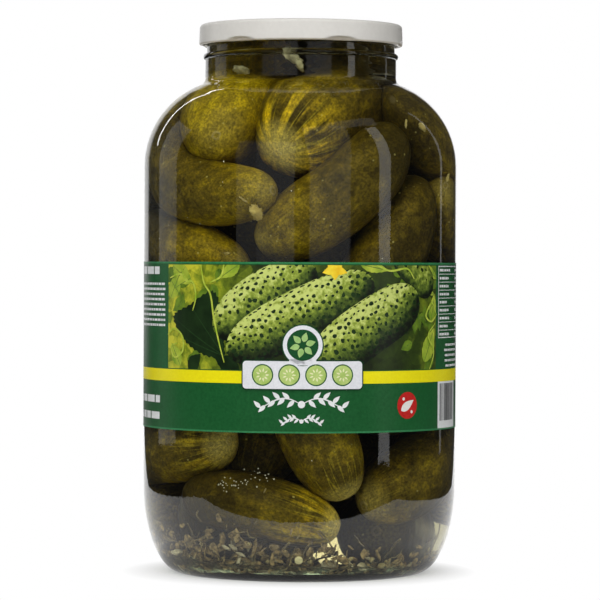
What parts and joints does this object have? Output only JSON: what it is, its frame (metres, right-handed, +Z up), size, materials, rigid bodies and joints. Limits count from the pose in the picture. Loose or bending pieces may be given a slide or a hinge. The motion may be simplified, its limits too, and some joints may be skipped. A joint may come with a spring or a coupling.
{
  "type": "pickle jar",
  "caption": "Large round glass jar of whole pickled gherkins in brine, with a white twist-off lid and a printed paper label.",
  "frame": {"origin": "middle of the flat resting ring under the jar", "axes": "+Z up along the jar's axis, -Y out of the middle of the label's front"},
  "size_m": [0.1586, 0.1586, 0.2773],
  "materials": {
    "glass": "gloss",
    "brine": "gloss",
    "lid": "satin",
    "liner": "matte",
    "label": "satin"
  },
  "bodies": {
    "root": {"jar": "glass", "brine": "brine", "lid": "lid", "lid_liner": "liner", "label": "label"}
  },
  "joints": []
}
